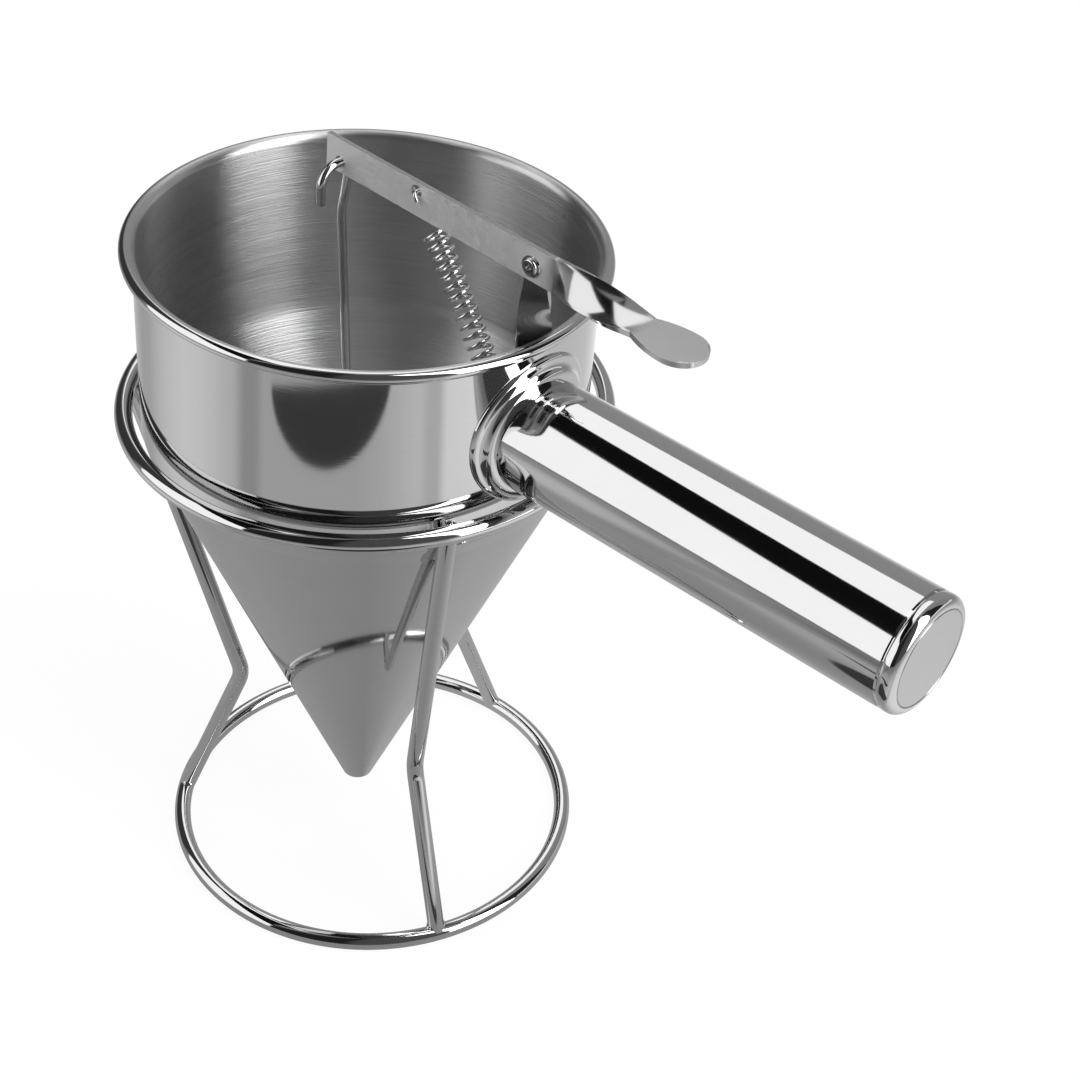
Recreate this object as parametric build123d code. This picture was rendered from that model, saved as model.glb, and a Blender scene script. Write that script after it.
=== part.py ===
from build123d import *
import math
import os

# Confectionery funnel on a wire stand. Millimetres, +Z up, handle along +X.
# The origin is on the stand's axis, on the surface that the stand rests on.
# The funnel is drawn upright and then tips over, until its handle tube rests on the stand.

# Sheet and wire stock
sheet = 0.7
lever_sheet = 1.2
bracket_sheet = 1.0
stand_wire = 4.0
rod_wire = 2.0
spring_wire = 0.85
anchor_wire = 1.6

# Clearances
seat_gap = 0.25
valve_gap = 0.2
pivot_play = 0.06
side_play = 0.05
hook_play = 0.35
spring_play = 0.3

# Bowl and cone, outer sizes
wall_radius = 49.8
wall_height = 45.4
corner_height = 121.4
corner_radius = 9.0
seam_drop = 5.0
rim_reach = 2.7
rim_round = 3.0
rim_edge = 0.3
outlet_radius = 3.6
outlet_height = 12.0
outlet_round = 0.3

# Stand
base_radius = 49.0
base_land = 0.15
kink_radius = 32.3
kink_height = 42.3
kink_bend = 9.0
ring_rise = 5.15
ring_inset = 0.3
cope_gap = 0.6
leg_angles = {"leg_front": -26.0, "leg_rear": 94.0, "leg_left": 218.2}

# Handle
handle_rise = 21.5
tube_radius = 12.6
tube_wall = 0.8
tube_length = 94.2
spigot_wall = 1.2
spigot_length = 9.0
flange_radius = 16.9
flange_lift = 1.1
flange_sheet = 0.9
collar_radius = 14.0
collar_height = 1.6
collar_round = 1.0
cap_length = 3.4
cap_round = 2.9
cap_step = 0.2
cap_skirt = 6.0
cap_groove = 0.4
cap_groove_depth = 0.5
vent_radius = 0.8
vent_distance = 54.7

# Lever, measured along its strip from the pivot
pivot_inset = 3.3
pivot_rise = 14.1
lever_slope = 2.1
strip_depth = 7.6
pivot_edge = 3.4
strip_end = 4.0
strip_round = 0.6
hook_arm = 54.5
hook_edge = 2.4
spring_arm = 32.2
spring_edge = 2.2
spring_hole = 3.0
twist_start = 8.5
twist_length = 17.3
twist_sag = 0.0
pad_length = 17.4
pad_width = 11.6
pad_lift = -0.6

# Pivot
rivet_shank = 2.4
rivet_head = 3.7
rivet_head_height = 0.6
rivet_dimple = 0.8
rivet_tail = 3.6
rivet_tail_height = 0.8
rivet_round = 0.5
washer_diameter = 4.6
washer_sheet = 0.4
ear_width = 6.8
bracket_width = 8.2
bracket_drop = 10.0
bracket_twist = 20.8
bracket_plate = 1.0
bracket_jog = 5.0
bracket_foot = 6.0

# Valve
plug_length = 6.0
plug_lift = 1.0
plug_round = 0.5
socket_depth = 3.5
rod_stand_off = 2.0
rod_bend = 6.0
hook_bend = 1.9
hook_curve = 4.6
hook_drop = 11.7
hook_leg = 8.1
hook_reach = 6.0

# Return spring
anchor_drop = 24.8
anchor_reach = 6.7
anchor_span = 6.4
anchor_bend = 1.7
coil_radius = 2.1
coil_pitch = 2.2
coil_start = 8.4
coil_tail = 7.0
spring_stand_off = 0.8
spring_tail = 1.6
spring_bend = 1.0

# Drawing accuracy
loft_steps = 6
gap_step = 0.4
lean_limit = 8.0
lean_halvings = 40
tiny = 1e-6

# Derived sizes
wall_inner = wall_radius - sheet
wire_radius = stand_wire / 2
rim_top = corner_height + wall_height
rim_radius = wall_radius + rim_reach
cone_slope = (wall_radius - outlet_radius) / (corner_height - outlet_height)
cone_angle = math.atan(cone_slope)
sheet_across = sheet / math.cos(cone_angle)
handle_height = corner_height + handle_rise
tube_end = wall_radius + tube_length
tube_bore = tube_radius - tube_wall
base_height = wire_radius - base_land
ring_height = corner_height + ring_rise
pivot_x = wall_inner - pivot_inset
pivot_z = rim_top + pivot_rise
half_lever = lever_sheet / 2
strip_tail = hook_arm + strip_end
strip_low = -pivot_edge
strip_high = strip_depth - pivot_edge
strip_middle = (strip_low + strip_high) / 2
pad_level = strip_middle + pad_lift
washer_inside = half_lever + side_play
washer_outside = washer_inside + washer_sheet
ear_middle = washer_outside + bracket_sheet / 2
lever_place = Pos(pivot_x, 0, pivot_z) * Rot(0, lever_slope, 0)
hook_centre = (lever_place * Pos(-hook_arm, 0, strip_low + hook_edge)).position
spring_centre = (lever_place * Pos(-spring_arm, 0, strip_high - spring_edge)).position


def revolve_outline(outline):
    return revolve(Plane.XZ * outline, Axis.Z)


def revolve_handle(outline):
    # The outline is drawn as (distance along the handle, radius from its axis).
    return Pos(0, 0, handle_height) * revolve(Plane.XZ * outline, Axis.X)


def bar_x(radius, start, end, lift=0.0):
    middle = Pos((start + end) / 2, 0, handle_height + lift)
    return middle * Rot(0, 90, 0) * Cylinder(radius, end - start)


def wall_core(radius):
    return Pos(0, 0, rim_top / 2) * Cylinder(radius, rim_top * 2)


def swept_wire(path, diameter):
    start = Plane(origin=path @ 0, z_dir=path % 0)
    return sweep(start * Circle(diameter / 2), path=path)


def sheet_outline(centre, across, face, half_width, thickness, sag):
    # Cross-section of a sheet whose middle is bowed away from its face by sag.
    middle = centre - face * sag
    near = face * (thickness / 2)
    low = centre - across * half_width
    high = centre + across * half_width
    if abs(sag) < tiny:
        front = Line(low + near, high + near)
        back = Line(high - near, low - near)
    else:
        front = ThreePointArc(low + near, middle + near, high + near)
        back = ThreePointArc(high - near, middle - near, low - near)
    return Wire([front, Line(high + near, high - near), back, Line(low - near, low + near)])


def corner_near(outline, across, up):
    return sorted(outline.vertices(), key=lambda v: math.hypot(v.X - across, v.Y - up))[0]


def ease(share):
    return share * share * (3 - 2 * share)


# Bowl: wall with an out-turned rim and a turned-in corner

def cone_point(drop, inward=0.0):
    # A point on the cone's outer line, drop along it from the corner, then inward through the sheet.
    sine = math.sin(cone_angle)
    cosine = math.cos(cone_angle)
    radius = wall_radius - drop * sine - inward * cosine
    height = corner_height - drop * cosine + inward * sine
    return (radius, height)


def bowl_wall():
    inner_corner = corner_height + (sheet_across - sheet) / cone_slope
    under_rim = rim_top - sheet
    points = [(wall_radius, under_rim), (wall_radius, corner_height), cone_point(seam_drop)]
    points += [cone_point(seam_drop, sheet), (wall_inner, inner_corner), (wall_inner, rim_top)]
    points += [(rim_radius, rim_top), (rim_radius, under_rim)]
    outline = make_face(Polyline(*points, close=True))
    outline = fillet(corner_near(outline, wall_inner, inner_corner), corner_radius)
    outline = fillet(corner_near(outline, wall_radius, corner_height), corner_radius + sheet)
    outline = fillet(corner_near(outline, wall_inner, rim_top), rim_round)
    outline = fillet(corner_near(outline, wall_radius, under_rim), rim_round - sheet)
    outline = fillet(corner_near(outline, rim_radius, rim_top), rim_edge)
    outline = fillet(corner_near(outline, rim_radius, under_rim), rim_edge)
    return revolve_outline(outline)


def cone():
    points = [cone_point(seam_drop), (outlet_radius, outlet_height)]
    points += [(outlet_radius - sheet_across, outlet_height), cone_point(seam_drop, sheet)]
    outline = make_face(Polyline(*points, close=True))
    outline = fillet(outline.vertices().sort_by(Axis.Y)[0:2], outlet_round)
    return revolve_outline(outline)


# Stand: two hoops and three kinked legs that carry the bowl's corner

def leg_line():
    # Direction of a leg's upper run, which passes the bowl's corner at the seat clearance.
    run = Vector(wall_radius - kink_radius, corner_height - kink_height)
    turn = math.degrees(math.asin((wire_radius + seat_gap) / run.length))
    return run.normalized().rotate(Axis.Z, -turn)


def leg_slope():
    direction = leg_line()
    return direction.X / direction.Y


def leg_radius(height):
    return kink_radius + leg_slope() * (height - kink_height)


ring_radius = leg_radius(ring_height) + ring_inset


def base_hoop():
    return Pos(0, 0, base_height) * Torus(base_radius, wire_radius)


def base_ring():
    return base_hoop() & Pos(0, 0, stand_wire) * Box(4 * base_radius, 4 * base_radius, 2 * stand_wire)


def top_ring():
    return Pos(0, 0, ring_height) * Torus(ring_radius, wire_radius)


def leg(angle):
    foot_run = Vector(kink_radius - base_radius, kink_height - base_height)
    foot = Vector(base_radius, base_height) + foot_run.normalized() * cope_gap
    top = ring_height - cope_gap
    points = [(foot.X, foot.Y), (kink_radius, kink_height), (leg_radius(top), top)]
    path = Plane.XZ * FilletPolyline(*points, radius=kink_bend)
    coped = swept_wire(path, stand_wire) - base_hoop() - top_ring()
    return Rot(0, 0, angle) * coped.solids().sort_by(SortBy.VOLUME)[-1]


# The funnel's place in the stand

# It tips over the two legs beside the handle, so it leans midway between them.
lean_way = (leg_angles["leg_front"] + leg_angles["leg_rear"]) / 2


def tipped(lean):
    # Tipping lowers the corner on one side, so the bowl also slides back along the sloping legs.
    shift = -wall_radius * math.sin(math.radians(lean)) * leg_slope()
    tip = Pos(shift, 0, corner_height) * Rot(0, lean, 0) * Pos(0, 0, -corner_height)
    return Rot(0, 0, lean_way) * tip * Rot(0, 0, -lean_way)


def tube_gap(lean):
    # Gap between the handle's tube and the top ring.
    root = (tipped(lean) * Pos(0, 0, handle_height)).position
    tip = (tipped(lean) * Pos(tube_end, 0, handle_height)).position
    hoop = Edge.make_circle(ring_radius, Plane((0, 0, ring_height)))
    return hoop.distance_to(Edge.make_line(root, tip)) - tube_radius - wire_radius


def rest_lean():
    low, high = -lean_limit, lean_limit
    for halving in range(lean_halvings):
        middle = (low + high) / 2
        if tube_gap(middle) > seat_gap:
            low = middle
        else:
            high = middle
    return low


funnel_lean = rest_lean()
funnel_place = tipped(funnel_lean)


# Handle: rosette, tube, inner spigot and cap

def handle_spigot():
    sleeve = bar_x(tube_bore, 0, wall_radius + spigot_length)
    sleeve -= bar_x(tube_bore - spigot_wall, 0, wall_radius * 2)
    return (sleeve - wall_core(wall_radius)).solids().sort_by(Axis.X)[-1]


def handle_flange():
    disc = bar_x(flange_radius, 0, wall_radius * 2, flange_lift) & wall_core(wall_radius + flange_sheet)
    collar = bar_x(collar_radius, 0, wall_radius + collar_height)
    collar = fillet(collar.edges().group_by(Axis.X)[-1], collar_round)
    rosette = disc + collar - wall_core(wall_radius) - bar_x(tube_radius, 0, wall_radius * 2)
    return rosette.solids().sort_by(Axis.X)[-1]


def handle_tube():
    # The tube's inner end is coped to the round wall.
    tube = bar_x(tube_radius, 0, tube_end) - bar_x(tube_bore, 0, tube_end) - wall_core(wall_radius)
    vent = Pos(wall_radius + vent_distance, 0, handle_height - tube_radius)
    return (tube - vent * Cylinder(vent_radius, 4 * tube_wall)).solids().sort_by(Axis.X)[-1]


def handle_cap():
    face = tube_end + cap_groove + cap_length
    shoulder = tube_radius - cap_groove_depth
    disc = tube_radius - cap_round
    points = [(tube_end - cap_skirt, 0), (tube_end - cap_skirt, tube_bore), (tube_end, tube_bore)]
    points += [(tube_end, shoulder), (tube_end + cap_groove, shoulder)]
    points += [(tube_end + cap_groove, tube_radius), (face, tube_radius)]
    points += [(face, disc - cap_step), (face - cap_step, disc - cap_step), (face - cap_step, 0)]
    outline = make_face(Polyline(*points, close=True))
    return revolve_handle(fillet(corner_near(outline, face, tube_radius), cap_round))


# Lever: strip, quarter twist and thumb pad in one sheet

def lever():
    half = strip_depth / 2
    length = strip_tail + twist_start
    strip = Pos((twist_start - strip_tail) / 2, strip_middle) * Rectangle(length, strip_depth)
    strip = fillet(strip.vertices().sort_by(Axis.X)[0:2], strip_round)
    strip -= Pos(-hook_arm, strip_low + hook_edge) * Circle(rod_wire / 2 + hook_play)
    strip -= Pos(-spring_arm, strip_high - spring_edge) * Circle(spring_hole / 2)
    strip -= Circle(rivet_shank / 2 + pivot_play)
    blade = extrude(Plane.XZ * strip, half_lever, both=True)
    sections = []
    for step in range(loft_steps + 1):
        share = step / loft_steps
        turn = math.radians(90 * ease(share))
        across = Vector(0, math.sin(turn), math.cos(turn))
        face = Vector(0, -math.cos(turn), math.sin(turn))
        rise = strip_middle + pad_lift * ease(share)
        centre = Vector(twist_start + twist_length * share, 0, rise)
        sag = twist_sag * math.sin(math.pi * share) ** 2
        sections.append(sheet_outline(centre, across, face, half, lever_sheet, sag))
    twist = Solid.make_loft(sections)
    heel = twist_start + twist_length
    tip = heel + pad_length
    bulge = tip - pad_width / 2
    side = TangentArc((bulge, pad_width / 2), (heel, half), tangent=(-1, 0))
    far_side = TangentArc((bulge, -pad_width / 2), (heel, -half), tangent=(-1, 0))
    nose = ThreePointArc((bulge, pad_width / 2), (tip, 0), (bulge, -pad_width / 2))
    pad = make_face([side, nose, far_side, Line((heel, half), (heel, -half))])
    pad = extrude(Plane((0, 0, pad_level)) * pad, half_lever, both=True)
    return lever_place * (blade + twist + pad)


# Pivot: bracket welded inside the wall, rivet and two washers

def pivot_bracket():
    # A strip that is bowed to the wall at its foot, jogs inward, stands up and twists into an ear.
    half = bracket_width / 2
    chord = math.sqrt(wall_inner**2 - half**2)
    bow = chord - wall_inner
    aside = math.asin(ear_middle / wall_inner)
    outward = Vector(math.cos(aside), math.sin(aside), 0)
    tangent = Vector(-math.sin(aside), math.cos(aside), 0)
    plate_top = rim_top - bracket_drop
    jog_top = plate_top - bracket_plate
    foot_top = jog_top - bracket_jog
    foot = outward * (chord - bracket_sheet / 2) + Vector(0, 0, foot_top)
    stem = Vector(pivot_x, ear_middle, jog_top)
    bowed = sheet_outline(foot, tangent, outward, half, bracket_sheet, bow)
    base = extrude(make_face(bowed), bracket_foot, dir=(0, 0, -1))
    jog = []
    for step in range(loft_steps + 1):
        share = step / loft_steps
        turn = aside * (1 - ease(share))
        face = Vector(math.cos(turn), math.sin(turn), 0)
        across = Vector(-math.sin(turn), math.cos(turn), 0)
        centre = foot + (stem - foot) * ease(share)
        centre = Vector(centre.X, centre.Y, foot.Z + bracket_jog * share)
        jog.append(sheet_outline(centre, across, face, half, bracket_sheet, bow * (1 - share)))
    flat = sheet_outline(stem, Vector(0, 1, 0), Vector(1, 0, 0), half, bracket_sheet, 0)
    plate = extrude(make_face(flat), bracket_plate, dir=(0, 0, 1))
    twist = []
    for step in range(loft_steps + 1):
        share = step / loft_steps
        turn = math.radians(-90 * ease(share))
        face = Vector(math.cos(turn), math.sin(turn), 0)
        across = Vector(-math.sin(turn), math.cos(turn), 0)
        centre = Vector(pivot_x, ear_middle, plate_top + bracket_twist * share)
        width = half + (ear_width / 2 - half) * ease(share)
        twist.append(sheet_outline(centre, across, face, width, bracket_sheet, 0))
    ear_level = plate_top + bracket_twist
    ear_height = pivot_z - ear_level
    ear = Pos(pivot_x, ear_level + ear_height / 2) * Rectangle(ear_width, ear_height)
    ear += Pos(pivot_x, pivot_z) * Circle(ear_width / 2)
    ear -= Pos(pivot_x, pivot_z) * Circle(rivet_shank / 2)
    ear_plane = Plane((0, ear_middle, 0), x_dir=(1, 0, 0), z_dir=(0, -1, 0))
    ear = extrude(ear_plane * ear, bracket_sheet / 2, both=True)
    return base + Solid.make_loft(jog) + plate + Solid.make_loft(twist) + ear


def pivot_part(start, end, radius, bore=0.0):
    # A round piece on the pivot axis, between two places along Y.
    middle = Pos(pivot_x, (start + end) / 2, pivot_z) * Rot(90, 0, 0)
    piece = middle * Cylinder(radius, end - start)
    if bore > 0:
        piece -= middle * Cylinder(bore, end - start)
    return piece


def pivot_rivet():
    head_end = -washer_outside - rivet_head_height
    tail_start = washer_outside + bracket_sheet
    head = pivot_part(head_end, -washer_outside, rivet_head / 2)
    head = fillet(head.edges().group_by(Axis.Y)[0], rivet_round)
    dimple = Pos(pivot_x, head_end, pivot_z) * Sphere(rivet_dimple)
    tail = pivot_part(tail_start, tail_start + rivet_tail_height, rivet_tail / 2)
    tail = fillet(tail.edges().group_by(Axis.Y)[-1], rivet_round)
    return head - dimple + pivot_part(-washer_outside, tail_start, rivet_shank / 2) + tail


def pivot_washer(side):
    ends = sorted((side * washer_inside, side * washer_outside))
    return pivot_part(ends[0], ends[1], washer_diameter / 2, rivet_shank / 2)


# Valve: tapered plug and hooked rod

plug_foot = outlet_height + plug_lift
plug_top = plug_foot + plug_length
rod_knee = Vector(hook_centre.X, 0, hook_centre.Z - hook_drop)
rod_run = (rod_knee - Vector(0, 0, plug_top)).normalized()
rod_foot = Vector(0, 0, plug_top) - rod_run * socket_depth


def plug_radius(height):
    inner = outlet_radius - sheet_across + (height - outlet_height) * cone_slope
    return inner - valve_gap / math.cos(cone_angle)


def valve_rod():
    rear = Vector(hook_centre.X, half_lever + rod_stand_off, hook_centre.Z)
    front = Vector(hook_centre.X, -hook_reach, hook_centre.Z)
    points = [rod_foot, rod_knee, rear, front, front - Vector(0, 0, hook_leg)]
    path = FilletPolyline(*points, radius=[rod_bend, hook_bend, hook_curve])
    return swept_wire(path, rod_wire)


def valve_plug():
    points = [(0, plug_foot), (plug_radius(plug_foot), plug_foot)]
    points += [(plug_radius(plug_top), plug_top), (0, plug_top)]
    outline = make_face(Polyline(*points, close=True))
    rim = [v for v in outline.vertices() if v.X > tiny]
    plug = revolve_outline(fillet(rim, plug_round))
    socket = Plane(origin=rod_foot, z_dir=rod_run) * Circle(rod_wire / 2)
    return plug - extrude(socket, socket_depth * 2)


# Return spring and the staple that holds its lower end

anchor = Vector(wall_inner - anchor_reach, 0, rim_top - anchor_drop)


def spring_anchor():
    half = anchor_span / 2
    points = [(wall_radius, -half), (anchor.X, -half), (anchor.X, half), (wall_radius, half)]
    path = Plane((0, 0, anchor.Z)) * FilletPolyline(*points, radius=anchor_bend)
    return swept_wire(path, anchor_wire) & wall_core(wall_inner)


def biarc(start, start_way, end, end_way):
    # Two tangent arcs that leave start along start_way and reach end along end_way.
    chord = end - start
    ways = start_way + end_way
    spread = 2 * (1 - start_way.dot(end_way))
    reach = chord.dot(ways)
    if spread < tiny:
        length = chord.dot(chord) / (2 * reach)
    else:
        length = (math.sqrt(reach**2 + spread * chord.dot(chord)) - reach) / spread
    first = start + start_way * length
    second = end - end_way * length
    joint = (first + second) * 0.5
    way = (second - first).normalized()
    return [Edge.make_tangent_arc(start, start_way, joint), Edge.make_tangent_arc(joint, way, end)]


def spring_path():
    hook_radius = anchor_wire / 2 + spring_play + spring_wire / 2
    line = (anchor - spring_centre).normalized()
    sideways = Vector(0, 1, 0)
    lift = line.cross(sideways)
    rear = half_lever + spring_stand_off
    turns = round(((anchor - spring_centre).length - coil_start - coil_tail) / coil_pitch)

    def coil(turn):
        angle = 2 * math.pi * turn
        centre = spring_centre + line * (coil_start + coil_pitch * turn)
        around = sideways * math.cos(angle) + lift * math.sin(angle)
        along = lift * math.cos(angle) - sideways * math.sin(angle)
        way = along * (2 * math.pi * coil_radius) + line * coil_pitch
        return centre + around * coil_radius, way.normalized()

    front = spring_centre - sideways * rear
    back = spring_centre + sideways * rear
    tip = front + line * spring_tail
    drop = back + line * (coil_start - 2 * coil_radius)
    top = FilletPolyline(tip, front, back, drop, radius=spring_bend)
    edges = list(top.edges())
    start, way = coil(0)
    edges += biarc(drop, line, start, way)
    for half_turn in range(2 * turns):
        end, end_way = coil((half_turn + 1) / 2)
        edges += biarc(start, way, end, end_way)
        start, way = end, end_way
    near = anchor - lift * hook_radius
    inlet = near - line * spring_wire * 2
    edges += biarc(start, way, inlet, line)
    edges.append(Edge.make_line(inlet, near))
    far = anchor + lift * hook_radius
    edges.append(Edge.make_three_point_arc(near, anchor + line * hook_radius, far))
    edges.append(Edge.make_line(far, far - line * spring_wire))
    return Wire(edges), turns


def least_gap(path, diameter):
    # Nearest approach of the wire to itself, on points more than a half turn apart along it.
    count = int(path.length / gap_step)
    points = [path @ (i / count) for i in range(count + 1)]
    skip = int(math.pi * coil_radius / gap_step)
    least = min(
        (points[i] - points[j]).length
        for i in range(len(points))
        for j in range(i + skip, len(points))
    )
    return least - diameter


def return_spring():
    path, turns = spring_path()
    print("spring turns", turns, "wire length", round(path.length, 1))
    print("spring least gap to itself", round(least_gap(path, spring_wire), 2))
    return swept_wire(path, spring_wire)


# All pieces, the stand's upright and the funnel's in its tipped place

pieces = {"base_ring": base_ring(), "top_ring": top_ring()}
for name, angle in leg_angles.items():
    pieces[name] = leg(angle)

funnel_pieces = {
    "bowl_wall": bowl_wall(),
    "cone": cone(),
    "handle_flange": handle_flange(),
    "handle_spigot": handle_spigot(),
    "handle_tube": handle_tube(),
    "handle_cap": handle_cap(),
    "pivot_bracket": pivot_bracket(),
    "pivot_rivet": pivot_rivet(),
    "pivot_washer_front": pivot_washer(-1),
    "pivot_washer_rear": pivot_washer(1),
    "spring_anchor": spring_anchor(),
    "return_spring": return_spring(),
    "lever": lever(),
    "valve_rod": valve_rod(),
    "valve_plug": valve_plug(),
}
for name, piece in funnel_pieces.items():
    pieces[name] = funnel_place * piece

os.makedirs("parts", exist_ok=True)
for name, piece in pieces.items():
    export_step(piece, f"parts/{name}.step")


def show(label, point):
    placed = (funnel_place * Pos(*point)).position
    print(label, [round(v, 4) for v in placed])


brim = math.pi * wall_inner**2 * (wall_height + wall_inner / cone_slope / 3) / 1000
print("brim capacity about", round(brim), "ml")
print("funnel leans", round(funnel_lean, 3), "degrees; top ring radius", round(ring_radius, 2))
show("pivot", (pivot_x, 0, pivot_z))
show("hook", hook_centre)
show("spring hole", spring_centre)
show("spring anchor", anchor)
show("outlet", (0, 0, outlet_height))
axis_end = (funnel_place * Pos(0, 1, 0)).position - funnel_place.position
print("pivot axis", [round(v, 6) for v in axis_end])
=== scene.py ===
import bpy
import math
from mathutils import Matrix, Vector


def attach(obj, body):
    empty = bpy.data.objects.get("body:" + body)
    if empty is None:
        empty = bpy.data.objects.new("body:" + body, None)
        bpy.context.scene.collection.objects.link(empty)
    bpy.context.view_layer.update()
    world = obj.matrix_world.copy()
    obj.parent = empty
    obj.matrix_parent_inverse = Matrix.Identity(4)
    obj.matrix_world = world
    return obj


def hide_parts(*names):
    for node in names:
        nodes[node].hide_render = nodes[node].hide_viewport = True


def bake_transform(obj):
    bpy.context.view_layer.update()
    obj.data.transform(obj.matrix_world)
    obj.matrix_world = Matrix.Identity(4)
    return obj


# Confectionery funnel on a wire stand, dressed over its CAD frame.
# Sizes in the dictionaries are millimetres and angles are degrees.

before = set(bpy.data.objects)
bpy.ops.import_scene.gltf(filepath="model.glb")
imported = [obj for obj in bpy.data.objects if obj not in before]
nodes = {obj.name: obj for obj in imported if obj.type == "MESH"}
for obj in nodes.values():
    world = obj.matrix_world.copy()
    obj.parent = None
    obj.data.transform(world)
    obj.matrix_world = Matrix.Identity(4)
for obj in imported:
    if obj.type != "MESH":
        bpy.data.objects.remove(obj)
bpy.context.view_layer.update()
mm = 0.001
print("frame loaded,", len(nodes), "CAD nodes")

# the funnel leans in its stand, so its pieces are modelled upright and then placed
funnelLean = {"lean": 1.916, "way": 34.0, "shift": -0.4172, "corner": 121.4}
leanTurn = Matrix.Rotation(math.radians(funnelLean["way"]), 4, "Z")
leanTip = Matrix.Translation((funnelLean["shift"] * mm, 0, funnelLean["corner"] * mm))
leanTip = leanTip @ Matrix.Rotation(math.radians(funnelLean["lean"]), 4, "Y")
leanTip = leanTip @ Matrix.Translation((0, 0, -funnelLean["corner"] * mm))
funnelPlace = leanTurn @ leanTip @ leanTurn.inverted()
uprightFrame = funnelPlace.inverted()


# Shader helpers

class Tap:
    # one socket of a node tree, so that shader maths reads as a sum
    def __init__(self, tree, socket=None):
        self.tree = tree
        self.socket = socket

    def node(self, kind, settings=None, sockets=None, out=0):
        made = self.tree.nodes.new(kind)
        for key, value in (settings or {}).items():
            if key == "stops":
                layStops(made.color_ramp, value)
            else:
                setattr(made, key, value)
        for key, value in (sockets or {}).items():
            self.feed(made.inputs[key], value)
        return Tap(self.tree, made.outputs[out] if made.outputs else None)

    def feed(self, socket, value):
        if isinstance(value, Tap):
            self.tree.links.new(value.socket, socket)
        else:
            socket.default_value = value

    def maths(self, operation, first, second=0.0):
        return self.node("ShaderNodeMath", {"operation": operation}, {0: first, 1: second})

    def __add__(self, other):
        return self.maths("ADD", self, other)

    def __radd__(self, other):
        return self.maths("ADD", other, self)

    def __sub__(self, other):
        return self.maths("SUBTRACT", self, other)

    def __rsub__(self, other):
        return self.maths("SUBTRACT", other, self)

    def __mul__(self, other):
        return self.maths("MULTIPLY", self, other)

    def __rmul__(self, other):
        return self.maths("MULTIPLY", other, self)

    def __truediv__(self, other):
        return self.maths("DIVIDE", self, other)

    def __rtruediv__(self, other):
        return self.maths("DIVIDE", other, self)

    def __gt__(self, other):
        return self.maths("GREATER_THAN", self, other)

    def __lt__(self, other):
        return self.maths("LESS_THAN", self, other)


def layStops(ramp, stops):
    while len(ramp.elements) < len(stops):
        ramp.elements.new(1.0)
    for element, (place, value) in zip(ramp.elements, stops):
        element.position = place
        element.color = (value, value, value, 1)


def axesOf(tap, vector):
    split = tap.node("ShaderNodeSeparateXYZ", {}, {"Vector": vector})
    tree = tap.tree
    parts = split.socket.node.outputs
    return [Tap(tree, parts[name]) for name in ("X", "Y", "Z")]


def noiseAt(tap, vector, stretch, scale, detail=2.0):
    # noise that runs long where the stretch is small
    pulled = tap.node("ShaderNodeVectorMath", {"operation": "MULTIPLY"}, {0: vector, 1: stretch})
    return tap.node("ShaderNodeTexNoise", {}, {"Vector": pulled, "Scale": scale, "Detail": detail})


def greyMix(tap, share, dark, light):
    # sockets 6 and 7 are the node's two colours
    first = (dark, dark, dark, 1)
    second = (light, light, light, 1)
    sockets = {"Factor": share, 6: first, 7: second}
    return tap.node("ShaderNodeMix", {"data_type": "RGBA"}, sockets, out=2)


def rampOver(tap, value, low, high, stops):
    # a ramp with its stops given in the value's own units
    spread = [((place - low) / (high - low), level) for place, level in stops]
    return tap.node("ShaderNodeValToRGB", {"stops": spread}, {"Fac": (value - low) / (high - low)})


def startSteel(name):
    material = bpy.data.materials.new(name)
    material.use_nodes = True
    shader = material.node_tree.nodes["Principled BSDF"]
    shader.inputs["Metallic"].default_value = 1.0
    return material, Tap(material.node_tree), shader


def placeOn(tap, upright):
    place = tap.node("ShaderNodeTexCoord", {}, {}, out="Object")
    if not upright:
        return place
    turn = uprightFrame.to_euler()
    move = uprightFrame.to_translation()
    return tap.node("ShaderNodeMapping", {}, {"Vector": place, "Location": move, "Rotation": turn})


def steel(name, look):
    # polished sheet: soft clouds in the colour, fine lines in the polish, a slow wave in the sheet
    material, tap, shader = startSteel(name)
    place = placeOn(tap, look["upright"])
    cloud = noiseAt(tap, place, (1, 1, 1), look["cloudScale"], 3.0)
    lines = noiseAt(tap, place, look["lineStretch"], look["lineScale"], 4.0)
    wave = noiseAt(tap, place, look["waveStretch"], look["waveScale"], 1.0)
    if "tilt" in look:
        # the same slope all over the sheet
        wave = wave - look["tilt"] / (look["waveDepth"] * mm) * axesOf(tap, place)[2]
    shade = greyMix(tap, 0.5 * cloud + 0.5 * lines, look["dark"], look["light"])
    tap.feed(shader.inputs["Base Color"], shade)
    smudge = look["smudge"] * (cloud - 0.5)
    tap.feed(shader.inputs["Roughness"], look["rough"] + smudge + look["roughSpread"] * (lines - 0.5))
    slow = {"Strength": 1.0, "Distance": look["waveDepth"] * mm, "Height": wave}
    fine = {"Strength": look["bump"], "Distance": look["bumpDepth"] * mm, "Height": lines}
    fine["Normal"] = tap.node("ShaderNodeBump", {}, slow)
    tap.feed(shader.inputs["Normal"], tap.node("ShaderNodeBump", {}, fine))
    return material


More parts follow.
